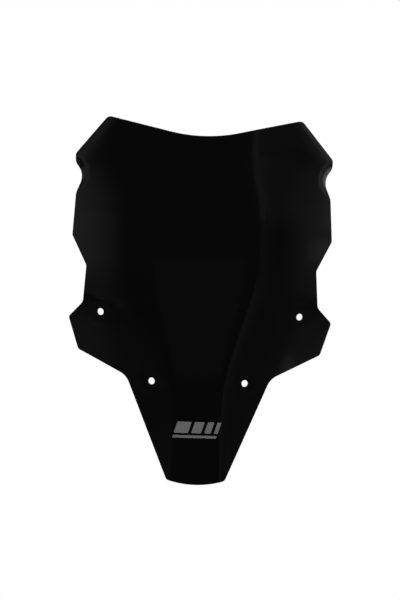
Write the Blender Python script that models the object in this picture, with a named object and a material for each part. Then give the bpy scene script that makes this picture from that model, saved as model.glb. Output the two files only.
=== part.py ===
"""Windshield screen: one thermoformed acrylic sheet with four fixing holes, and a small film mark.

Frame: X runs to the side, +Z up along the sheet, and -Y out of its front face.
The origin is the middle of the four fixing holes, on the back face.
Sizes are in millimetres until the vertices are made.
"""
import math

import bmesh
import bpy
from mathutils import Vector
from mathutils.geometry import area_tri, delaunay_2d_cdt

MM = 0.001

# Driving dimensions of the sheet
SHEET_THICKNESS = 3.0
HOLE_DIAMETER = 10.5
UPPER_HOLE_SPACING = 310.0
LOWER_HOLE_SPACING = 145.0
HOLE_ROW_DISTANCE = 105.0

# Corners of the right half of the trimmed edge, from the top down: x, z, corner radius
RIGHT_EDGE = (
    (0.0, 323.7, 240.0),       # dip in the middle of the top edge
    (151.8, 359.2, 10.0),      # top corner
    (201.5, 299.0, 9.0),       # upper tip
    (201.0, 285.0, 14.0),      # start of the side notch
    (187.5, 266.0, 26.0),      # side notch
    (199.0, 237.0, 20.0),      # end of the side notch
    (202.6, 171.0, 6.0),       # corner above the waist
    (179.2, 124.4, 8.0),       # top of the waist
    (183.0, 67.4, 14.0),       # bottom of the waist
    (205.2, 44.0, 6.0),        # tip of the fixing ear
    (189.0, -6.4, 7.0),        # lower corner of the fixing ear
    (112.2, -45.2, 30.0),      # shoulder of the lower wedge
    (45.4, -205.0, 7.5),       # bottom corner
    (0.0, -218.4, 148.0),      # rounded bottom edge
)

# Flatter centre between two soft bends that follow the sheet's height
BEND_HALF_WIDTH_LOW = 38.0
BEND_HALF_WIDTH_MIDDLE = 98.0
BEND_HALF_WIDTH_TOP = 76.0
BEND_SPREAD_START = -130.0
BEND_SPREAD_END = 195.0
BEND_CLOSE_END = 305.0
CENTRE_SLOPE = 0.11            # sideways slope gained over one bend half-width
SIDE_SLOPE = 0.175             # further slope gained across the soft bend
SIDE_SLOPE_EASE = 0.08         # how much less it is at the top
BEND_SOFTNESS = 0.09           # share of the bend half-width

# Shape along the height
HEIGHT_RADIUS = 1450.0
LIP_HEIGHT = 297.0             # where the top lip starts on the centre line
LIP_DROP = 22.0                # how far its line falls by the side notch
LIP_DROP_HALF_WIDTH = 190.0
LIP_SLOPE = 0.08
LIP_SOFTNESS = 5.0
EAR_LINE = 74.0                # the fixing ears turn back below this line
EAR_SLOPE = 0.05
EAR_SOFTNESS = 5.0
EAR_INNER = 108.0
EAR_OUTER = 165.0

# Rolled rims: the side notch, and the slanted edge between the top corner and the upper tip
NOTCH_ROLL_CENTRE = (210.0, 269.0)
NOTCH_ROLL_REACH = 31.0        # from the centre to where the rim starts to roll back
NOTCH_ROLL_RADIUS = 16.0
CORNER_BEND_WIDTH = 14.0       # slight bend before the corner's roll
CORNER_BEND_SLOPE = 0.08
CORNER_BEND_SOFTNESS = 4.0
CORNER_ROLL_WIDTH = 5.0
CORNER_ROLL_RADIUS = 12.0
ROLL_SOFTNESS = 1.5

# Flat pads round the holes
PAD_INNER_RADIUS = 9.0
PAD_RADIUS = 13.0
PAD_BLEND_RADIUS = 26.0

# Film mark: slanted bars over a thin line
FILM_THICKNESS = 0.3
FILM_GAP = 0.3
MARK_CENTRE_Z = -126.5
MARK_WIDTH = 76.0
BAR_WIDTHS = (22.0, 15.0, 10.0, 6.0)
BAR_HEIGHT = 17.5
MARK_SLANT = 0.32              # sideways shift for each millimetre of height
UNDERLINE_HEIGHT = 4.0
UNDERLINE_GAP = 3.5

# Looks
ACRYLIC_COLOUR = (0.006, 0.006, 0.007)
ACRYLIC_ROUGHNESS = 0.08
FILM_COLOUR = (0.15, 0.15, 0.155)
FILM_ROUGHNESS = 0.4

# Mesh density
EDGE_STEP = 13.0
ARC_TURN = math.radians(10.0)  # most that one step along a rounded corner turns
GRID_STEP = 14.5
NOTCH_ROW_RADII = (31.0, 27.0, 23.0)
NOTCH_STEP = 6.0
HOLE_SIDES = 20
FILM_STEP = 6.0
LEAST_TRIANGLE_AREA = 0.01

SLOPE_PROBE = 0.01


def smooth_step(value):
    """Rise from 0 to 1 with no kink in slope or curvature."""
    t = min(max(value, 0.0), 1.0)
    return t ** 3 * (t * (6.0 * t - 15.0) + 10.0)


def soft_ramp(value, softness):
    """Zero before the bend and a straight ramp after it, rounded over the softness."""
    ratio = value / softness
    if ratio > 30.0:
        return value
    return softness * math.log1p(math.exp(ratio))


def bend_half_width(z):
    spread = smooth_step((z - BEND_SPREAD_START) / (BEND_SPREAD_END - BEND_SPREAD_START))
    close = smooth_step((z - BEND_SPREAD_END) / (BEND_CLOSE_END - BEND_SPREAD_END))
    opened = (BEND_HALF_WIDTH_MIDDLE - BEND_HALF_WIDTH_LOW) * spread
    closed = (BEND_HALF_WIDTH_MIDDLE - BEND_HALF_WIDTH_TOP) * close
    return BEND_HALF_WIDTH_LOW + opened - closed


def side_slope(z):
    ease = smooth_step((z - BEND_SPREAD_END) / (BEND_CLOSE_END - BEND_SPREAD_END))
    return SIDE_SLOPE - SIDE_SLOPE_EASE * ease


def sideways_depth(x, z):
    """Sweep of the sides behind the centre line."""
    half = bend_half_width(z)
    u = x / half
    bend = soft_ramp(u - 1.0, BEND_SOFTNESS) + soft_ramp(-u - 1.0, BEND_SOFTNESS)
    return half * (CENTRE_SLOPE * u * u / 2.0 + side_slope(z) * bend)


def lip_depth(x, z):
    line = LIP_HEIGHT - LIP_DROP * (x / LIP_DROP_HALF_WIDTH) ** 4
    return -LIP_SLOPE * soft_ramp(z - line, LIP_SOFTNESS)


def ear_depth(x, z):
    share = smooth_step((abs(x) - EAR_INNER) / (EAR_OUTER - EAR_INNER))
    return EAR_SLOPE * share * soft_ramp(EAR_LINE - z, EAR_SOFTNESS)


def rolled_depth(into, radius):
    """Depth of a rim that is rolled back round a radius; into is the distance past the roll's start."""
    return radius - math.sqrt(radius ** 2 - soft_ramp(into, ROLL_SOFTNESS) ** 2)


def notch_depth(x, z):
    away = math.hypot(abs(x) - NOTCH_ROLL_CENTRE[0], z - NOTCH_ROLL_CENTRE[1])
    return rolled_depth(NOTCH_ROLL_REACH - away, NOTCH_ROLL_RADIUS)


def corner_depth(x, z):
    top = Vector(RIGHT_EDGE[1][:2])
    tip = Vector(RIGHT_EDGE[2][:2])
    along = (tip - top).normalized()
    outside = along.x * (z - top.y) - along.y * (abs(x) - top.x)
    bend = CORNER_BEND_SLOPE * soft_ramp(outside + CORNER_BEND_WIDTH, CORNER_BEND_SOFTNESS)
    return bend + rolled_depth(outside + CORNER_ROLL_WIDTH, CORNER_ROLL_RADIUS)


def formed_depth(x, z):
    """Depth of the formed front face, before the hole pads are pressed flat."""
    upward = z * z / (2.0 * HEIGHT_RADIUS)
    turned_back = ear_depth(x, z) + notch_depth(x, z) + corner_depth(x, z)
    return upward + sideways_depth(x, z) + lip_depth(x, z) + turned_back


def formed_slopes(x, z):
    across = formed_depth(x + SLOPE_PROBE, z) - formed_depth(x - SLOPE_PROBE, z)
    upward = formed_depth(x, z + SLOPE_PROBE) - formed_depth(x, z - SLOPE_PROBE)
    return across / (2.0 * SLOPE_PROBE), upward / (2.0 * SLOPE_PROBE)


def hole_centres():
    upper = UPPER_HOLE_SPACING / 2.0
    lower = LOWER_HOLE_SPACING / 2.0
    row = HOLE_ROW_DISTANCE / 2.0
    return ((-upper, row), (upper, row), (-lower, -row), (lower, -row))


def front_depth(x, z):
    """Depth of the front face, with a flat pad round each hole."""
    depth = formed_depth(x, z)
    for hole_x, hole_z in hole_centres():
        away = math.hypot(x - hole_x, z - hole_z)
        if away >= PAD_BLEND_RADIUS:
            continue
        slope_x, slope_z = formed_slopes(hole_x, hole_z)
        flat = formed_depth(hole_x, hole_z) + slope_x * (x - hole_x) + slope_z * (z - hole_z)
        share = smooth_step((PAD_BLEND_RADIUS - away) / (PAD_BLEND_RADIUS - PAD_RADIUS))
        depth += share * (flat - depth)
    return depth


def pad_normal(hole):
    """Unit vector out of the front face at a hole."""
    slope_x, slope_z = formed_slopes(*hole)
    return Vector((slope_x, -1.0, slope_z)).normalized()


def back_depth_of_pattern():
    """Mean depth of the four hole centres on the back face."""
    depths = []
    for hole in hole_centres():
        depths.append(formed_depth(*hole) - SHEET_THICKNESS * pad_normal(hole).y)
    return sum(depths) / len(depths)


PATTERN_DEPTH = back_depth_of_pattern()


def front_point(x, z, clearance=0.0):
    """Point in metres on the front face, or that far in front of it."""
    return Vector((x, front_depth(x, z) - PATTERN_DEPTH - clearance, z)) * MM


def corner_arc(before, corner, after, radius):
    """Points along the arc that rounds one corner of a closed edge."""
    back = (before - corner).normalized()
    ahead = (after - corner).normalized()
    opening = back.angle(ahead)
    centre = corner + (back + ahead).normalized() * (radius / math.sin(opening / 2.0))
    tangent = radius / math.tan(opening / 2.0)
    start = corner + back * tangent - centre
    end = corner + ahead * tangent - centre
    sweep = start.angle_signed(end)
    count = 2 * math.ceil(abs(sweep) / min(ARC_TURN, EDGE_STEP / radius) / 2.0)
    points = []
    for index in range(count + 1):
        turn = -sweep * index / count
        cosine = math.cos(turn)
        sine = math.sin(turn)
        turned = Vector((start.x * cosine - start.y * sine, start.x * sine + start.y * cosine))
        points.append(centre + turned)
    return points


def edge_loop():
    """The whole trimmed edge as a closed list of points."""
    left_edge = [(-x, z, radius) for x, z, radius in reversed(RIGHT_EDGE[1:-1])]
    corners = list(RIGHT_EDGE) + left_edge
    loop = []
    for index, (x, z, radius) in enumerate(corners):
        before = corners[index - 1]
        after = corners[(index + 1) % len(corners)]
        arc = corner_arc(Vector(before[:2]), Vector((x, z)), Vector(after[:2]), radius)
        if loop:
            loop.extend(split_line(loop[-1], arc[0]))
        loop.extend(arc)
    loop.extend(split_line(loop[-1], loop[0]))
    return loop


def split_line(start, end):
    """Points strictly between two ends, no further apart than the edge step."""
    count = math.ceil((end - start).length / EDGE_STEP)
    return [start.lerp(end, index / count) for index in range(1, count)]


def pad_ring(hole, radius):
    """Circle in the plane of the pad, seen from the front."""
    normal = pad_normal(hole)
    side = normal.cross(Vector((0.0, 0.0, 1.0))).normalized()
    upward = side.cross(normal)
    points = []
    for index in range(HOLE_SIDES):
        turn = 2.0 * math.pi * index / HOLE_SIDES
        offset = radius * (math.cos(turn) * side + math.sin(turn) * upward)
        points.append(Vector((hole[0] + offset.x, hole[1] + offset.z)))
    return points


def inside_loop(point, loop):
    inside = False
    for index, end in enumerate(loop):
        start = loop[index - 1]
        if (start.y > point.y) != (end.y > point.y):
            share = (point.y - start.y) / (end.y - start.y)
            if point.x < start.x + share * (end.x - start.x):
                inside = not inside
    return inside


def distance_to_loop(point, loop):
    nearest = math.inf
    for index, end in enumerate(loop):
        start = loop[index - 1]
        along = end - start
        share = min(max((point - start).dot(along) / along.length_squared, 0.0), 1.0)
        nearest = min(nearest, (start + along * share - point).length)
    return nearest


def notch_rows(edge):
    """Rows of points round the rolled rims of the side notches."""
    points = []
    for radius in NOTCH_ROW_RADII:
        count = round(2.0 * math.pi * radius / NOTCH_STEP)
        for index in range(count):
            turn = 2.0 * math.pi * (index + 0.5) / count
            x = NOTCH_ROLL_CENTRE[0] + radius * math.cos(turn)
            z = NOTCH_ROLL_CENTRE[1] + radius * math.sin(turn)
            point = Vector((x, z))
            if inside_loop(point, edge) and distance_to_loop(point, edge) > 0.4 * NOTCH_STEP:
                points.extend((point, Vector((-x, z))))
    return points


def grid_points(edge):
    """Staggered points that fill the sheet between its edge, the notch rows and the pads."""
    notch = Vector(NOTCH_ROLL_CENTRE)
    row_step = GRID_STEP * math.sqrt(3.0) / 2.0
    lowest_row = math.floor(min(point.y for point in edge) / row_step)
    highest_row = math.ceil(max(point.y for point in edge) / row_step)
    columns = math.ceil(max(point.x for point in edge) / GRID_STEP)
    points = []
    for row in range(lowest_row, highest_row + 1):
        shift = 0.5 * (row % 2)
        for column in range(-columns, columns + 1):
            point = Vector(((column + shift) * GRID_STEP, row * row_step))
            if not inside_loop(point, edge) or distance_to_loop(point, edge) < 0.6 * GRID_STEP:
                continue
            if (Vector((abs(point.x), point.y)) - notch).length < NOTCH_ROLL_REACH + 0.5 * GRID_STEP:
                continue
            to_hole = min((point - Vector(hole)).length for hole in hole_centres())
            if to_hole > PAD_RADIUS + 0.5 * GRID_STEP:
                points.append(point)
    return points


def add_loop(points, edges, loop):
    first = len(points)
    points.extend(loop)
    for index in range(len(loop)):
        edges.append((first + index, first + (index + 1) % len(loop)))


def triangulated_sheet():
    """Flat triangles between the trimmed edge and the hole rims."""
    edge = edge_loop()
    rims = [pad_ring(hole, HOLE_DIAMETER / 2.0) for hole in hole_centres()]
    points = []
    edges = []
    add_loop(points, edges, edge)
    for rim in rims:
        add_loop(points, edges, rim)
    for hole in hole_centres():
        for radius in (PAD_INNER_RADIUS, PAD_RADIUS):
            add_loop(points, edges, pad_ring(hole, radius))
    points.extend(notch_rows(edge))
    points.extend(grid_points(edge))
    corners, _, triangles, *_ = delaunay_2d_cdt(points, edges, [], 0, 1e-6)
    kept = []
    for triangle in triangles:
        first, second, third = (corners[index] for index in triangle)
        if area_tri(first, second, third) < LEAST_TRIANGLE_AREA:
            continue
        middle = (first + second + third) / 3.0
        if inside_loop(middle, edge) and not any(inside_loop(middle, rim) for rim in rims):
            kept.append(triangle)
    return corners, kept


def new_object(name, mesh, material):
    mesh.materials.append(material)
    part = bpy.data.objects.new(name, mesh)
    bpy.context.scene.collection.objects.link(part)
    return part


def give_thickness(part, thickness, offset):
    """Turn the formed surface into a closed sheet; -1 thickens backwards, 1 forwards."""
    solidify = part.modifiers.new("Thickness", "SOLIDIFY")
    solidify.thickness = thickness * MM
    solidify.offset = offset
    solidify.use_even_offset = True


def face_forward(mesh):
    """Make every face of an open sheet look to -Y."""
    if mesh.polygons[0].normal.y > 0.0:
        mesh.flip_normals()


def make_material(name, colour, roughness):
    material = bpy.data.materials.new(name)
    material.use_nodes = True
    shader = material.node_tree.nodes["Principled BSDF"]
    shader.inputs["Base Color"].default_value = (*colour, 1.0)
    shader.inputs["Roughness"].default_value = roughness
    shader.inputs["Metallic"].default_value = 0.0
    return material


def build_screen_panel():
    corners, triangles = triangulated_sheet()
    mesh = bpy.data.meshes.new("screen_panel")
    mesh.from_pydata([front_point(corner.x, corner.y) for corner in corners], [], triangles)
    face_forward(mesh)
    mesh.shade_smooth()
    mesh.set_sharp_from_angle(angle=math.radians(40.0))
    material = make_material("smoked_acrylic", ACRYLIC_COLOUR, ACRYLIC_ROUGHNESS)
    panel = new_object("screen_panel", mesh, material)
    give_thickness(panel, SHEET_THICKNESS, -1.0)


def build_film(name, left, right, bottom, top):
    """One island of film: a slanted patch that follows the front face."""
    columns = math.ceil((right - left) / FILM_STEP)
    rows = math.ceil((top - bottom) / FILM_STEP)
    shape = bmesh.new()
    grid = []
    for row in range(rows + 1):
        z = bottom + (top - bottom) * row / rows
        shift = MARK_SLANT * (z - bottom)
        line = []
        for column in range(columns + 1):
            x = left + (right - left) * column / columns + shift
            line.append(shape.verts.new(front_point(x, z, FILM_GAP)))
        grid.append(line)
    for lower, upper in zip(grid, grid[1:]):
        for column in range(columns):
            shape.faces.new((lower[column], lower[column + 1], upper[column + 1], upper[column]))
    bmesh.ops.triangulate(shape, faces=shape.faces)
    mesh = bpy.data.meshes.new(name)
    shape.to_mesh(mesh)
    shape.free()
    face_forward(mesh)
    material = make_material(f"{name}_film", FILM_COLOUR, FILM_ROUGHNESS)
    give_thickness(new_object(name, mesh, material), FILM_THICKNESS, 1.0)


def build_mark():
    """Bars and line share one slanted outline, centred on the sheet."""
    height = BAR_HEIGHT + UNDERLINE_GAP + UNDERLINE_HEIGHT
    line_width = MARK_WIDTH - MARK_SLANT * height
    left = -MARK_WIDTH / 2.0
    bottom = MARK_CENTRE_Z - height / 2.0
    top = bottom + height
    build_film("badge_underline", left, left + line_width, bottom, bottom + UNDERLINE_HEIGHT)
    gap = (line_width - sum(BAR_WIDTHS)) / (len(BAR_WIDTHS) - 1)
    left += MARK_SLANT * (height - BAR_HEIGHT)
    for number, width in enumerate(BAR_WIDTHS, start=1):
        build_film(f"badge_bar_{number}", left, left + width, top - BAR_HEIGHT, top)
        left += width + gap


def clear_scene():
    for item in list(bpy.context.scene.objects):
        bpy.data.objects.remove(item, do_unlink=True)


def main():
    clear_scene()
    build_screen_panel()
    build_mark()


main()
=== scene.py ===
"""Looks for the windshield screen: polished smoked acrylic with a trimmed edge, and a grey film mark."""
import math

import bpy
import numpy as np
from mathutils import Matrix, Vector
from mathutils.geometry import delaunay_2d_cdt


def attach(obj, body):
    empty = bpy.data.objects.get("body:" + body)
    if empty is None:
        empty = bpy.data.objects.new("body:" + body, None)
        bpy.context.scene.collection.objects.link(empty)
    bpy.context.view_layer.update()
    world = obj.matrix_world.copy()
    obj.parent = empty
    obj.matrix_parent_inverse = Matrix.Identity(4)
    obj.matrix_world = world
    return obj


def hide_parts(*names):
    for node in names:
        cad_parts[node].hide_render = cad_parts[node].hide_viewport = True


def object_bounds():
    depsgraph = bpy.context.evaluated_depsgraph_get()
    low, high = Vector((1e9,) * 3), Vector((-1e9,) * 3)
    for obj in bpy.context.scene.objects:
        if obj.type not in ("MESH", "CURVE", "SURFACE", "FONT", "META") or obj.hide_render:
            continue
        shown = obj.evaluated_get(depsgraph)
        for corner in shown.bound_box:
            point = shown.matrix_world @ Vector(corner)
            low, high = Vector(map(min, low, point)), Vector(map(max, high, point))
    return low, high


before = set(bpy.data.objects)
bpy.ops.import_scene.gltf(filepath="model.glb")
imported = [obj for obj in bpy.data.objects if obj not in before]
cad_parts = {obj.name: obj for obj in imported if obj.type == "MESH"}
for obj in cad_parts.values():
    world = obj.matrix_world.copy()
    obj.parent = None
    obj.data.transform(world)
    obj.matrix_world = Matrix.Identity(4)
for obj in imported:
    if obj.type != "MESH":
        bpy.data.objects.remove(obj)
cad_low, cad_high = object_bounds()

MM = 0.001

# Sheet and holes, in millimetres, as in the CAD model
SHEET_THICKNESS = 3.0
HOLE_DIAMETER = 10.5
UPPER_HOLE_SPACING = 310.0
LOWER_HOLE_SPACING = 145.0
HOLE_ROW_DISTANCE = 105.0

# Corners of the right half of the trimmed edge, from the top down: x, z, corner radius.
# Ten are rounded from line and least-squares fits to the photo's traced edge. The four from the upper
# tip to the end of the notch were set one by one.
RIGHT_EDGE = (
    (0.0, 323.7, 240.0),       # dip in the middle of the top edge
    (151.8, 359.2, 10.0),      # top corner
    (201.5, 299.0, 9.0),       # upper tip
    (201.0, 285.0, 14.0),      # start of the side notch
    (187.5, 266.0, 26.0),      # side notch
    (199.0, 237.0, 20.0),      # end of the side notch
    (202.6, 171.0, 6.0),       # corner above the waist
    (179.2, 124.4, 8.0),       # top of the waist
    (183.0, 67.4, 14.0),       # bottom of the waist
    (205.2, 44.0, 6.0),        # tip of the fixing ear
    (189.0, -6.4, 7.0),        # lower corner of the fixing ear
    (112.2, -45.2, 30.0),      # shoulder of the lower wedge
    (45.4, -205.0, 7.5),       # bottom corner
    (0.0, -218.4, 148.0),      # rounded bottom edge
)

# Form of the sheet. Many of these were chosen, guided by least-squares fits of the form and
# the soft panels together to the photo's brightness, which don't settle the depth.
BEND_HALF_WIDTH_LOW = 38.0
BEND_HALF_WIDTH_MIDDLE = 98.0
BEND_HALF_WIDTH_TOP = 76.0
BEND_SPREAD_START = -130.0
BEND_SPREAD_END = 195.0
BEND_CLOSE_END = 305.0
CENTRE_SLOPE = 0.11
SIDE_SLOPE = 0.175
SIDE_SLOPE_EASE = 0.08
BEND_SOFTNESS = 0.09
HEIGHT_RADIUS = 1450.0
LIP_HEIGHT = 297.0
LIP_DROP = 22.0
LIP_DROP_HALF_WIDTH = 190.0
LIP_SLOPE = 0.08
LIP_SOFTNESS = 5.0
EAR_LINE = 74.0
EAR_SLOPE = 0.05
EAR_SOFTNESS = 5.0
EAR_INNER = 108.0
EAR_OUTER = 165.0
NOTCH_ROLL_CENTRE = (210.0, 269.0)
NOTCH_ROLL_REACH = 31.0
NOTCH_ROLL_RADIUS = 16.0
CORNER_BEND_WIDTH = 14.0
CORNER_BEND_SLOPE = 0.08
CORNER_BEND_SOFTNESS = 4.0
CORNER_ROLL_WIDTH = 5.0
CORNER_ROLL_RADIUS = 12.0
ROLL_SOFTNESS = 1.5
PAD_RADIUS = 13.0
PAD_BLEND_RADIUS = 26.0

# Film mark
FILM_THICKNESS = 0.12
FILM_CLEARANCE = 0.03
MARK_CENTRE_Z = -126.5
MARK_WIDTH = 76.0
BAR_WIDTHS = (22.0, 15.0, 10.0, 6.0)
BAR_HEIGHT = 17.5
MARK_SLANT = 0.32
UNDERLINE_HEIGHT = 4.0
UNDERLINE_GAP = 3.5
FILM_CORNER_RADIUS = 1.2

# Rounded edges
EDGE_BEVEL = 0.5
HOLE_BEVEL = 0.6
FILM_BEVEL = 0.03
BEVEL_STEPS = 4

# Fineness of the visible meshes
EDGE_STEP = 2.5
ARC_STEP = 1.2
GRID_STEP = 3.2
ROLL_STEP = 1.6                 # on the rolled rims of the notches
HOLE_SIDES = 72
SHEET_SUPPORTS = (0.35, 1.2, 2.4, 3.8)   # insets of the loops that follow the trimmed edge
FILM_STEP = 1.6
FILM_ARC_STEP = 0.3
FILM_SUPPORTS = (0.1,)
GRID_CLEARANCE = 0.6            # from a loop to the nearest grid point, in grid steps
SLOPE_PROBE = 0.02
MERGE_DISTANCE = 1e-7
SMALLEST_AREA = 1e-6            # twice the area, in square millimetres, below which a triangle is dropped

# Materials, with noise scales in cells a metre
WHITE = (1.0, 1.0, 1.0, 1.0)
ACRYLIC_IOR = 1.49
ACRYLIC_COLOUR = (0.0005, 0.0005, 0.0006, 1.0)
ACRYLIC_ROUGHNESS = (0.025, 0.07)
ACRYLIC_BUMP = (0.12, 0.002)    # strength, and depth in metres
FORMING_WAVE_SCALE = 14.0
HAZE_SCALE = 9.0
HAZE_RANGE = (0.35, 0.75)
EDGE_COLOUR = (0.006, 0.006, 0.007, 1.0)
EDGE_ROUGHNESS = (0.18, 0.34)
EDGE_BUMP = (0.3, 0.0001)
TOOL_MARK_SCALE = 900.0
TOOL_MARK_RANGE = (0.3, 0.7)
FILM_DARK = (0.125, 0.125, 0.129, 1.0)
FILM_LIGHT = (0.235, 0.235, 0.239, 1.0)
FILM_ROUGHNESS = 0.42
FILM_BUMP = (0.15, 0.00002)
FILM_GRAIN_SCALE = 2600.0
FILM_GRAIN_SHARE = 0.25
FILM_MOTTLE_SCALE = 60.0
FILM_MOTTLE_SHARE = 0.15

# Camera, in metres and degrees
CAMERA_DISTANCE = 6.0
CAMERA_ROLL = 1.6
CAMERA_OFFSET = -0.0006         # to the left of the centre line
CAMERA_RISE = 0.0019            # above the middle of the screen's height
PICTURE_HEIGHT = 0.9315         # height of the view at the screen
SENSOR = 36.0

# Lamps: name, place and size in metres, power in watts. Each is aimed at the origin.
LAMPS = (
    ("key_light", (-1.2, -2.4, 2.9), 1.6, 160.0),
    ("fill_light", (1.6, -1.2, 3.0), 1.6, 60.0),
)

# Floor, in metres
FLOOR_RADIUS = 3.0
FLOOR_DROP = 0.45               # below the screen's lowest point
FLOOR_SIDES = 96
FLOOR_GLOW = 0.6
FLOOR_COLOUR = (0.85, 0.85, 0.85, 1.0)
FLOOR_ROUGHNESS = 0.8

# Studio: radiance seen in reflections, by direction in degrees. Azimuth 0 is towards the camera.
# Each soft panel is a window in azimuth and elevation: where it starts, is full, starts to fade, ends.
# Nine rows keep some numbers rounded from the same fits, and the rest were set one by one. The labels are
# guesses at what the reflections show.
ROOM_GLOW = 0.048
SOFT_PANELS = (
    ((-14.0, -12.0, 10.0, 12.0), (-6.0, -4.0, 10.0, 12.0), 0.018),       # desk in front
    ((-150.0, -120.0, -47.0, -35.0), (-8.5, -6.0, 19.0, 37.0), 0.080),   # soft box on the left
    ((-150.0, -120.0, -48.0, -35.0), (-3.0, 4.0, 19.0, 37.0), 0.135),    # its brighter part
    ((-60.0, -50.0, -40.0, -33.0), (2.0, 7.0, 14.0, 18.0), 0.035),       # its spill on the wall
    ((34.0, 52.0, 95.0, 120.0), (-14.0, 10.0, 80.0, 90.0), 0.26),        # soft box on the right
    ((41.0, 44.0, 60.0, 75.0), (5.0, 8.0, 10.0, 13.0), 0.11),            # its brighter lower edge
    ((43.5, 48.0, 95.0, 120.0), (12.0, 15.0, 80.0, 90.0), 0.12),         # and outer half
    ((44.0, 50.0, 60.0, 75.0), (-7.0, -4.0, -1.0, 3.0), 0.14),           # bright gap below it
    ((19.0, 20.5, 21.0, 42.0), (-91.0, -90.0, 0.0, 8.0), 0.062),         # door frame on the right
    ((19.0, 20.5, 21.0, 42.0), (0.0, 8.0, 90.0, 91.0), 0.028),           # its shaded upper part
    ((16.5, 18.5, 21.0, 25.0), (16.0, 17.5, 19.0, 21.0), 0.070),         # pale wall above it
    ((17.0, 19.5, 23.0, 31.0), (19.0, 21.0, 80.0, 90.0), 0.045),         # and further up
    ((9.0, 29.0, 38.0, 43.0), (13.0, 19.0, 80.0, 90.0), 0.028),          # its wide faint surround
    ((-120.0, -100.0, -28.0, -20.0), (-91.0, -90.0, -30.0, -4.0), 0.09),   # floor on the left
    ((31.0, 35.0, 100.0, 120.0), (-91.0, -90.0, -30.0, -4.0), 0.10),     # floor on the right
    ((70.0, 104.0, 145.0, 175.0), (-10.0, 0.0, 90.0, 91.0), 0.95),       # white wall on the right
    ((58.0, 98.0, 145.0, 175.0), (-91.0, -90.0, -10.0, 0.0), 0.95),      # and the pale floor along it
    ((120.0, 160.0, 181.0, 182.0), (-36.0, 12.0, 60.0, 85.0), 0.90),     # wall behind, on the right
    ((-182.0, -181.0, -150.0, -115.0), (-36.0, 12.0, 60.0, 85.0), 0.90),   # wall behind, on the left
    ((150.0, 153.0, 160.0, 163.0), (-40.0, -15.0, 40.0, 60.0), 0.90),    # strip light behind
    ((-182.0, -181.0, 181.0, 182.0), (-92.0, -91.0, -65.0, -40.0), 0.30),   # floor below
)


def smooth_step(value):
    """Rise from 0 to 1 with no kink in slope or curvature."""
    t = np.clip(value, 0.0, 1.0)
    return t ** 3 * (t * (6.0 * t - 15.0) + 10.0)


def soft_ramp(value, softness):
    """Zero before the bend and a straight ramp after it, rounded over the softness."""
    return softness * np.logaddexp(0.0, value / softness)


def bend_half_width(z):
    """Distance from the centre line to the soft bend, which spreads with height and closes near the top."""
    spread = smooth_step((z - BEND_SPREAD_START) / (BEND_SPREAD_END - BEND_SPREAD_START))
    close = smooth_step((z - BEND_SPREAD_END) / (BEND_CLOSE_END - BEND_SPREAD_END))
    opened = (BEND_HALF_WIDTH_MIDDLE - BEND_HALF_WIDTH_LOW) * spread
    closed = (BEND_HALF_WIDTH_MIDDLE - BEND_HALF_WIDTH_TOP) * close
    return BEND_HALF_WIDTH_LOW + opened - closed


def sideways_depth(x, z):
    """Sweep of the sides behind the centre line."""
    half = bend_half_width(z)
    u = x / half
    bend = soft_ramp(u - 1.0, BEND_SOFTNESS) + soft_ramp(-u - 1.0, BEND_SOFTNESS)
    ease = smooth_step((z - BEND_SPREAD_END) / (BEND_CLOSE_END - BEND_SPREAD_END))
    side_slope = SIDE_SLOPE - SIDE_SLOPE_EASE * ease
    return half * (CENTRE_SLOPE * u * u / 2.0 + side_slope * bend)


def lip_depth(x, z):
    """Lip along the top edge, which leans forwards."""
    line = LIP_HEIGHT - LIP_DROP * (x / LIP_DROP_HALF_WIDTH) ** 4
    return -LIP_SLOPE * soft_ramp(z - line, LIP_SOFTNESS)


def ear_depth(x, z):
    """The fixing ears turn back below their line."""
    share = smooth_step((np.abs(x) - EAR_INNER) / (EAR_OUTER - EAR_INNER))
    return EAR_SLOPE * share * soft_ramp(EAR_LINE - z, EAR_SOFTNESS)


def rolled_depth(into, radius):
    """Depth of a rim that is rolled back round a radius; into is the distance past the roll's start."""
    return radius - np.sqrt(radius ** 2 - soft_ramp(into, ROLL_SOFTNESS) ** 2)


def notch_depth(x, z):
    """Rolled rim of the side notches."""
    away = np.hypot(np.abs(x) - NOTCH_ROLL_CENTRE[0], z - NOTCH_ROLL_CENTRE[1])
    return rolled_depth(NOTCH_ROLL_REACH - away, NOTCH_ROLL_RADIUS)


def corner_depth(x, z):
    """Bend and rolled rim along the slanted upper corners."""
    top = Vector(RIGHT_EDGE[1][:2])
    tip = Vector(RIGHT_EDGE[2][:2])
    along = (tip - top).normalized()
    outside = along.x * (z - top.y) - along.y * (np.abs(x) - top.x)
    bend = CORNER_BEND_SLOPE * soft_ramp(outside + CORNER_BEND_WIDTH, CORNER_BEND_SOFTNESS)
    return bend + rolled_depth(outside + CORNER_ROLL_WIDTH, CORNER_ROLL_RADIUS)


def formed_depth(x, z):
    """Depth of the formed front face, before the hole pads are pressed flat."""
    upward = z * z / (2.0 * HEIGHT_RADIUS)
    turned_back = ear_depth(x, z) + notch_depth(x, z) + corner_depth(x, z)
    return upward + sideways_depth(x, z) + lip_depth(x, z) + turned_back


def slopes(depth, x, z):
    """Slopes of a depth function along x and z."""
    across = depth(x + SLOPE_PROBE, z) - depth(x - SLOPE_PROBE, z)
    upward = depth(x, z + SLOPE_PROBE) - depth(x, z - SLOPE_PROBE)
    return across / (2.0 * SLOPE_PROBE), upward / (2.0 * SLOPE_PROBE)


def hole_centres():
    """Centres of the fixing holes as x and z: upper left, upper right, lower left, lower right."""
    upper = UPPER_HOLE_SPACING / 2.0
    lower = LOWER_HOLE_SPACING / 2.0
    row = HOLE_ROW_DISTANCE / 2.0
    return ((-upper, row), (upper, row), (-lower, -row), (lower, -row))


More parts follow.
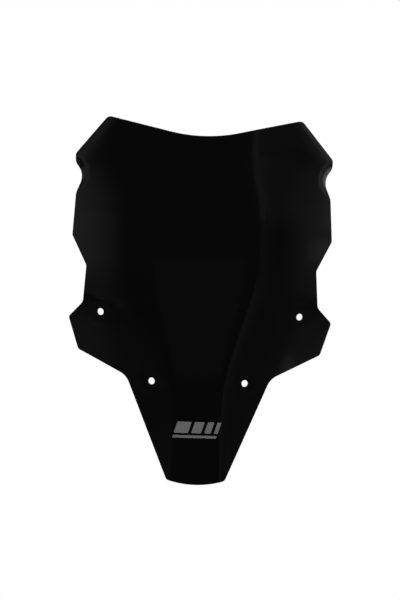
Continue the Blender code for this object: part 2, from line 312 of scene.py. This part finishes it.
def front_depth(x, z):
    """Depth of the front face, with a flat pad round each hole."""
    depth = formed_depth(x, z)
    for hole_x, hole_z in hole_centres():
        slope_x, slope_z = slopes(formed_depth, hole_x, hole_z)
        flat = formed_depth(hole_x, hole_z) + slope_x * (x - hole_x) + slope_z * (z - hole_z)
        away = np.hypot(x - hole_x, z - hole_z)
        share = smooth_step((PAD_BLEND_RADIUS - away) / (PAD_BLEND_RADIUS - PAD_RADIUS))
        depth = depth + share * (flat - depth)
    return depth


def front_normals(x, z):
    """Unit vectors out of the front face."""
    slope_x, slope_z = slopes(front_depth, x, z)
    normals = np.stack([slope_x, -np.ones_like(slope_x), slope_z], axis=-1)
    return normals / np.linalg.norm(normals, axis=-1, keepdims=True)


def pattern_depth():
    """Mean depth of the four hole centres on the back face, which is the frame's origin."""
    x, z = np.array(hole_centres()).T
    return float(np.mean(formed_depth(x, z) - SHEET_THICKNESS * front_normals(x, z)[:, 1]))


def sheet_points(flat, below):
    """Points in metres under the front face: flat holds x and z, below is the depth along the normal."""
    x, z = flat[:, 0], flat[:, 1]
    surface = np.stack([x, front_depth(x, z) - PATTERN_DEPTH, z], axis=-1)
    return (surface - front_normals(x, z) * below) * MM


PATTERN_DEPTH = pattern_depth()


def corner_arc(before, corner, after, radius, step):
    """Points along the arc that rounds one corner of a closed edge."""
    back = (before - corner).normalized()
    ahead = (after - corner).normalized()
    opening = back.angle(ahead)
    centre = corner + (back + ahead).normalized() * (radius / math.sin(opening / 2.0))
    tangent = radius / math.tan(opening / 2.0)
    start = corner + back * tangent - centre
    sweep = start.angle_signed(corner + ahead * tangent - centre)
    count = max(3, math.ceil(radius * abs(sweep) / step))
    points = []
    for index in range(count + 1):
        turn = -sweep * index / count
        cosine = math.cos(turn)
        sine = math.sin(turn)
        turned = Vector((start.x * cosine - start.y * sine, start.x * sine + start.y * cosine))
        points.append(centre + turned)
    return points


def rounded_loop(corners, arc_step, line_step):
    """Closed loop of points through rounded corners, each given as x, z and radius."""
    loop = []
    for index, (x, z, radius) in enumerate(corners):
        before = Vector(corners[index - 1][:2])
        after = Vector(corners[(index + 1) % len(corners)][:2])
        arc = corner_arc(before, Vector((x, z)), after, radius, arc_step)
        if loop:
            loop.extend(split_line(loop[-1], arc[0], line_step))
        loop.extend(arc)
    loop.extend(split_line(loop[-1], loop[0], line_step))
    return np.array([tuple(point) for point in loop])


def split_line(start, end, step):
    """Points between two ends, without the ends themselves."""
    count = math.ceil((end - start).length / step)
    return [start.lerp(end, index / count) for index in range(1, count)]


def inset_loop(loop, inset):
    """The loop moved inwards; loops run clockwise as seen from the front."""
    along = np.roll(loop, -1, axis=0) - np.roll(loop, 1, axis=0)
    along /= np.linalg.norm(along, axis=1, keepdims=True)
    inwards = np.stack([along[:, 1], -along[:, 0]], axis=-1)
    return loop + inwards * inset


def hole_loop(hole, radius):
    """Circle in the plane of the pad, seen from the front, running anticlockwise."""
    normal = Vector(front_normals(*np.array(hole)[:, None])[0])
    side = normal.cross(Vector((0.0, 0.0, 1.0))).normalized()
    upward = side.cross(normal)
    if side.x < 0.0:
        side.negate()
    points = []
    for index in range(HOLE_SIDES):
        turn = 2.0 * math.pi * index / HOLE_SIDES
        offset = radius * (math.cos(turn) * side + math.sin(turn) * upward)
        points.append((hole[0] + offset.x, hole[1] + offset.z))
    return np.array(points)


def inside_loop(points, loop):
    """True for each point inside a closed loop, by counting the edges to its right."""
    inside = np.zeros(len(points), bool)
    for start, end in zip(loop, np.roll(loop, -1, axis=0)):
        crosses = (start[1] > points[:, 1]) != (end[1] > points[:, 1])
        if start[1] == end[1]:
            continue
        share = (points[:, 1] - start[1]) / (end[1] - start[1])
        inside ^= crosses & (points[:, 0] < start[0] + share * (end[0] - start[0]))
    return inside


def distance_to_loop(points, loop):
    """Distance from each point to the nearest edge of a closed loop."""
    nearest = np.full(len(points), np.inf)
    for start, end in zip(loop, np.roll(loop, -1, axis=0)):
        along = end - start
        share = np.clip((points - start) @ along / (along @ along), 0.0, 1.0)
        nearest = np.minimum(nearest, np.linalg.norm(start + share[:, None] * along - points, axis=1))
    return nearest


def staggered_grid(loop, rims, step):
    """Staggered points that fill the space inside a loop and outside the rims."""
    low = loop.min(axis=0)
    high = loop.max(axis=0)
    row_step = step * math.sqrt(3.0) / 2.0
    rows = np.arange(low[1], high[1], row_step)
    columns = np.arange(0, math.ceil((high[0] - low[0]) / step) + 1)
    x, row = np.meshgrid(columns * step + low[0], np.arange(len(rows)))
    points = np.stack([(x + 0.5 * step * (row % 2)).ravel(), rows[row].ravel()], axis=-1)
    points = points[inside_loop(points, loop)]
    points = points[distance_to_loop(points, loop) > GRID_CLEARANCE * step]
    for rim in rims:
        middle = rim.mean(axis=0)
        reach = np.linalg.norm(rim - middle, axis=1).max()
        points = points[np.linalg.norm(points - middle, axis=1) > reach + GRID_CLEARANCE * step]
    return points


def graded_grid(loop, rims, step):
    """The staggered grid, finer on the rolled rims of the side notches."""
    coarse = staggered_grid(loop, rims, step)
    fine = staggered_grid(loop, [], min(step, ROLL_STEP))
    return np.concatenate([coarse[~in_notch_roll(coarse)], fine[in_notch_roll(fine)]])


def in_notch_roll(points):
    """True for each point on or beside a rolled rim of a side notch."""
    away = np.hypot(np.abs(points[:, 0]) - NOTCH_ROLL_CENTRE[0], points[:, 1] - NOTCH_ROLL_CENTRE[1])
    return away < NOTCH_ROLL_REACH + GRID_STEP


def fill(loop, rims, supports, step):
    """Triangles between a loop and its rims, with the loop's and the rims' points first."""
    borders = [loop, *rims]
    rings = list(borders)
    for support in supports:
        rings.extend(inset_loop(border, support) for border in borders)
    points = []
    edges = []
    for ring in rings:
        first = len(points)
        points.extend(ring.tolist())
        edges.extend((first + index, first + (index + 1) % len(ring)) for index in range(len(ring)))
    innermost = rings[-len(borders):]
    points.extend(graded_grid(innermost[0], innermost[1:], step).tolist())
    vectors = [Vector(point) for point in points]
    flat, _, triangles, *_ = delaunay_2d_cdt(vectors, edges, [], 0, MERGE_DISTANCE)
    flat = np.array([tuple(point) for point in flat])
    triangles = np.array(triangles)
    middles = flat[triangles].mean(axis=1)
    first_side = flat[triangles[:, 1]] - flat[triangles[:, 0]]
    second_side = flat[triangles[:, 2]] - flat[triangles[:, 0]]
    doubled_area = first_side[:, 0] * second_side[:, 1] - first_side[:, 1] * second_side[:, 0]
    kept = inside_loop(middles, loop) & (doubled_area > SMALLEST_AREA)
    for rim in rims:
        kept &= ~inside_loop(middles, rim)
    return flat, triangles[kept]


def rounded_profile(thickness, bevel):
    """Inset and depth along the trimmed edge, from the front face round to the back face."""
    turns = np.linspace(0.0, math.pi / 2.0, BEVEL_STEPS + 1)
    front = [(bevel * (1.0 - math.sin(turn)), bevel * (1.0 - math.cos(turn))) for turn in turns]
    back = [(inset, thickness - depth) for inset, depth in reversed(front)]
    return front + back


def closed_sheet(name, loop, rims, thickness, lift, bevel, rim_bevel, supports, step):
    """Closed thin body that follows the front face; lift raises it off the face."""
    loop_front = inset_loop(loop, bevel)
    rims_front = [inset_loop(rim, rim_bevel) for rim in rims]
    flat, triangles = fill(loop_front, rims_front, supports, step)
    count = len(flat)
    points = [sheet_points(flat, -lift), sheet_points(flat, thickness - lift)]
    faces = [tuple(row) for row in triangles]
    faces += [(row[0] + count, row[2] + count, row[1] + count) for row in triangles]
    total = 2 * count
    edge_faces = len(faces)
    start = 0
    for border, amount in zip([loop, *rims], [bevel] + [rim_bevel] * len(rims)):
        size = len(border)
        profile = rounded_profile(thickness, amount)
        rings = [np.arange(start, start + size)]
        for inset, depth in profile[1:-1]:
            points.append(sheet_points(inset_loop(border, inset), depth - lift))
            rings.append(np.arange(total, total + size))
            total += size
        rings.append(np.arange(start + count, start + count + size))
        for upper, lower in zip(rings, rings[1:]):
            for index in range(size):
                after = (index + 1) % size
                faces.append((upper[index], upper[after], lower[after], lower[index]))
        start += size
    mesh = bpy.data.meshes.new(name)
    mesh.from_pydata(np.concatenate(points).tolist(), [], [tuple(int(i) for i in face) for face in faces])
    mesh.shade_smooth()
    rim_flags = np.zeros(len(faces), np.int32)
    rim_flags[edge_faces:] = 1
    mesh.polygons.foreach_set("material_index", rim_flags)
    piece = bpy.data.objects.new(name, mesh)
    bpy.context.scene.collection.objects.link(piece)
    return piece


class Nodes:
    """Short way to write a material's or the world's nodes."""

    def __init__(self, owner):
        owner.use_nodes = True
        self.tree = owner.node_tree
        self.tree.nodes.clear()

    def add(self, kind, inputs=None, **settings):
        node = self.tree.nodes.new(kind)
        for key, value in settings.items():
            setattr(node, key, value)
        for key, value in (inputs or {}).items():
            if isinstance(value, bpy.types.NodeSocket):
                self.tree.links.new(value, node.inputs[key])
            else:
                node.inputs[key].default_value = value
        return node

    def math(self, operation, first, second=0.0, third=0.0):
        node = self.add("ShaderNodeMath", {0: first, 1: second, 2: third}, operation=operation)
        return node.outputs[0]

    def smooth_range(self, value, low, high, to_low=0.0, to_high=1.0):
        inputs = {"Value": value, "From Min": low, "From Max": high, "To Min": to_low, "To Max": to_high}
        node = self.add("ShaderNodeMapRange", inputs, interpolation_type="SMOOTHSTEP")
        return node.outputs["Result"]

    def noise(self, vector, scale, detail=2.0, roughness=0.5):
        inputs = {"Vector": vector, "Scale": scale, "Detail": detail, "Roughness": roughness}
        return self.add("ShaderNodeTexNoise", inputs).outputs["Fac"]

    def bump(self, height, strength, distance):
        inputs = {"Strength": strength, "Distance": distance, "Height": height}
        return self.add("ShaderNodeBump", inputs).outputs["Normal"]


def acrylic_material():
    """Polished black acrylic, with a faint forming wave and a little haze in the polish."""
    material = bpy.data.materials.new("smoked_acrylic")
    nodes = Nodes(material)
    place = nodes.add("ShaderNodeTexCoord").outputs["Object"]
    waves = nodes.noise(place, FORMING_WAVE_SCALE, detail=1.0, roughness=0.4)
    normal = nodes.bump(waves, *ACRYLIC_BUMP)
    haze = nodes.noise(place, HAZE_SCALE, detail=3.0, roughness=0.6)
    roughness = nodes.smooth_range(haze, *HAZE_RANGE, *ACRYLIC_ROUGHNESS)
    shader = nodes.add("ShaderNodeBsdfPrincipled", {"Normal": normal, "Roughness": roughness})
    shader.inputs["Base Color"].default_value = ACRYLIC_COLOUR
    shader.inputs["IOR"].default_value = ACRYLIC_IOR
    nodes.add("ShaderNodeOutputMaterial", {"Surface": shader.outputs[0]})
    return material


def edge_material():
    """The same acrylic where it is tooled: a duller edge with fine marks."""
    material = bpy.data.materials.new("trimmed_edge")
    nodes = Nodes(material)
    place = nodes.add("ShaderNodeTexCoord").outputs["Object"]
    marks = nodes.noise(place, TOOL_MARK_SCALE)
    normal = nodes.bump(marks, *EDGE_BUMP)
    roughness = nodes.smooth_range(marks, *TOOL_MARK_RANGE, *EDGE_ROUGHNESS)
    shader = nodes.add("ShaderNodeBsdfPrincipled", {"Normal": normal, "Roughness": roughness})
    shader.inputs["Base Color"].default_value = EDGE_COLOUR
    shader.inputs["IOR"].default_value = ACRYLIC_IOR
    nodes.add("ShaderNodeOutputMaterial", {"Surface": shader.outputs[0]})
    return material


def film_material():
    """Grey film with a fine grain and a soft mottle."""
    material = bpy.data.materials.new("grey_film")
    nodes = Nodes(material)
    place = nodes.add("ShaderNodeTexCoord").outputs["Object"]
    grain = nodes.noise(place, FILM_GRAIN_SCALE, roughness=0.6)
    mottle = nodes.noise(place, FILM_MOTTLE_SCALE, detail=3.0)
    patches = nodes.math("MULTIPLY", mottle, FILM_MOTTLE_SHARE)
    tone = nodes.math("MULTIPLY_ADD", grain, FILM_GRAIN_SHARE, patches)
    ramp = nodes.add("ShaderNodeMix", {"Factor": tone}, data_type="RGBA")
    ramp.inputs["A"].default_value = FILM_DARK
    ramp.inputs["B"].default_value = FILM_LIGHT
    normal = nodes.bump(grain, *FILM_BUMP)
    shader = nodes.add("ShaderNodeBsdfPrincipled", {"Normal": normal, "Roughness": FILM_ROUGHNESS})
    nodes.tree.links.new(ramp.outputs["Result"], shader.inputs["Base Color"])
    nodes.add("ShaderNodeOutputMaterial", {"Surface": shader.outputs[0]})
    return material


def place_piece(piece, node, materials):
    """Give a piece its face and edge materials, and its place in the frame."""
    for material in materials:
        piece.data.materials.append(material)
    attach(piece, "root")
    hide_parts(node)


def make_panel():
    """The sheet, with its left half mirrored from the right."""
    left_edge = [(-x, z, radius) for x, z, radius in reversed(RIGHT_EDGE[1:-1])]
    loop = rounded_loop(list(RIGHT_EDGE) + left_edge, ARC_STEP, EDGE_STEP)
    rims = [hole_loop(hole, HOLE_DIAMETER / 2.0) for hole in hole_centres()]
    panel = closed_sheet(
        "screen_sheet", loop, rims, SHEET_THICKNESS, 0.0, EDGE_BEVEL, HOLE_BEVEL, SHEET_SUPPORTS, GRID_STEP
    )
    place_piece(panel, "screen_panel", (acrylic_material(), edge_material()))


def make_film(name, node, left, right, bottom, top, material):
    """One slanted island of film with rounded corners; left and right are those of its lower edge."""
    shift = MARK_SLANT * (top - bottom)
    corners = [
        (left + shift, top, FILM_CORNER_RADIUS),
        (right + shift, top, FILM_CORNER_RADIUS),
        (right, bottom, FILM_CORNER_RADIUS),
        (left, bottom, FILM_CORNER_RADIUS),
    ]
    loop = rounded_loop(corners, FILM_ARC_STEP, FILM_STEP)
    lift = FILM_THICKNESS + FILM_CLEARANCE
    film = closed_sheet(name, loop, [], FILM_THICKNESS, lift, FILM_BEVEL, 0.0, FILM_SUPPORTS, FILM_STEP)
    place_piece(film, node, (material, material))


def make_mark():
    """Bars and line share one slanted outline, centred on the sheet."""
    material = film_material()
    height = BAR_HEIGHT + UNDERLINE_GAP + UNDERLINE_HEIGHT
    line_width = MARK_WIDTH - MARK_SLANT * height
    left = -MARK_WIDTH / 2.0
    bottom = MARK_CENTRE_Z - height / 2.0
    top = bottom + height
    line_top = bottom + UNDERLINE_HEIGHT
    make_film("mark_underline", "badge_underline", left, left + line_width, bottom, line_top, material)
    gap = (line_width - sum(BAR_WIDTHS)) / (len(BAR_WIDTHS) - 1)
    left += MARK_SLANT * (height - BAR_HEIGHT)
    for number, width in enumerate(BAR_WIDTHS, start=1):
        name = f"mark_bar_{number}"
        make_film(name, f"badge_bar_{number}", left, left + width, top - BAR_HEIGHT, top, material)
        left += width + gap


def make_camera():
    """Camera straight in front, turned by the lean that the screen has in the picture."""
    data = bpy.data.cameras.new("camera")
    data.sensor_width = SENSOR
    data.lens = SENSOR * CAMERA_DISTANCE / PICTURE_HEIGHT
    camera = bpy.data.objects.new("camera", data)
    bpy.context.scene.collection.objects.link(camera)
    middle = (cad_low + cad_high) / 2.0
    camera.location = (CAMERA_OFFSET, -CAMERA_DISTANCE, middle.z + CAMERA_RISE)
    camera.rotation_euler = (math.radians(90.0), math.radians(-CAMERA_ROLL), 0.0)
    bpy.context.scene.camera = camera


def soft_window(nodes, value, start, full, fade, end):
    """One between full and fade, and zero outside start and end."""
    rise = nodes.smooth_range(value, start, full)
    fall = nodes.smooth_range(value, fade, end, 1.0, 0.0)
    return nodes.math("MULTIPLY", rise, fall)


def make_world():
    """White to the camera, and the room's soft panels to every other ray."""
    world = bpy.data.worlds.new("studio")
    bpy.context.scene.world = world
    nodes = Nodes(world)
    direction = nodes.add("ShaderNodeTexCoord").outputs["Generated"]
    parts = nodes.add("ShaderNodeSeparateXYZ", {0: direction}).outputs
    forward = nodes.math("MULTIPLY", parts["Y"], -1.0)
    azimuth = nodes.math("DEGREES", nodes.math("ARCTAN2", parts["X"], forward))
    elevation = nodes.math("DEGREES", nodes.math("ARCSINE", parts["Z"]))
    glow = ROOM_GLOW
    for azimuths, elevations, radiance in SOFT_PANELS:
        across = soft_window(nodes, azimuth, *azimuths)
        upward = soft_window(nodes, elevation, *elevations)
        glow = nodes.math("MULTIPLY_ADD", nodes.math("MULTIPLY", across, upward), radiance, glow)
    room = nodes.add("ShaderNodeBackground", {"Strength": glow})
    paper = nodes.add("ShaderNodeBackground", {"Strength": 1.0})
    for shader in (room, paper):
        shader.inputs["Color"].default_value = WHITE
    seen = nodes.add("ShaderNodeLightPath").outputs["Is Camera Ray"]
    mix = nodes.add("ShaderNodeMixShader", {0: seen, 1: room.outputs[0], 2: paper.outputs[0]})
    nodes.add("ShaderNodeOutputWorld", {"Surface": mix.outputs[0]})


def make_light(name, position, size, power):
    """Round area lamp aimed at the origin."""
    data = bpy.data.lights.new(name, "AREA")
    data.shape = "DISK"
    data.size = size
    data.energy = power
    light = bpy.data.objects.new(name, data)
    light.location = position
    aim = -Vector(position)
    light.rotation_euler = aim.to_track_quat("-Z", "Y").to_euler()
    bpy.context.scene.collection.objects.link(light)


def make_floor():
    """Pale disc below the screen, evenly lit. The world's light stands for it on the object."""
    material = bpy.data.materials.new("pale_floor")
    nodes = Nodes(material)
    shader = nodes.add("ShaderNodeBsdfPrincipled")
    shader.inputs["Base Color"].default_value = FLOOR_COLOUR
    shader.inputs["Roughness"].default_value = FLOOR_ROUGHNESS
    shader.inputs["Emission Color"].default_value = WHITE
    shader.inputs["Emission Strength"].default_value = FLOOR_GLOW
    nodes.add("ShaderNodeOutputMaterial", {"Surface": shader.outputs[0]})
    turns = [2.0 * math.pi * index / FLOOR_SIDES for index in range(FLOOR_SIDES)]
    height = cad_low.z - FLOOR_DROP
    rim = [(FLOOR_RADIUS * math.cos(turn), FLOOR_RADIUS * math.sin(turn), height) for turn in turns]
    mesh = bpy.data.meshes.new("floor")
    mesh.from_pydata(rim, [], [range(FLOOR_SIDES)])
    mesh.materials.append(material)
    floor = bpy.data.objects.new("floor", mesh)
    floor.visible_glossy = False
    floor.visible_diffuse = False
    bpy.context.scene.collection.objects.link(floor)


make_panel()
make_mark()
make_camera()
make_world()
for lamp in LAMPS:
    make_light(*lamp)
make_floor()
bpy.context.scene.view_settings.view_transform = "Standard"
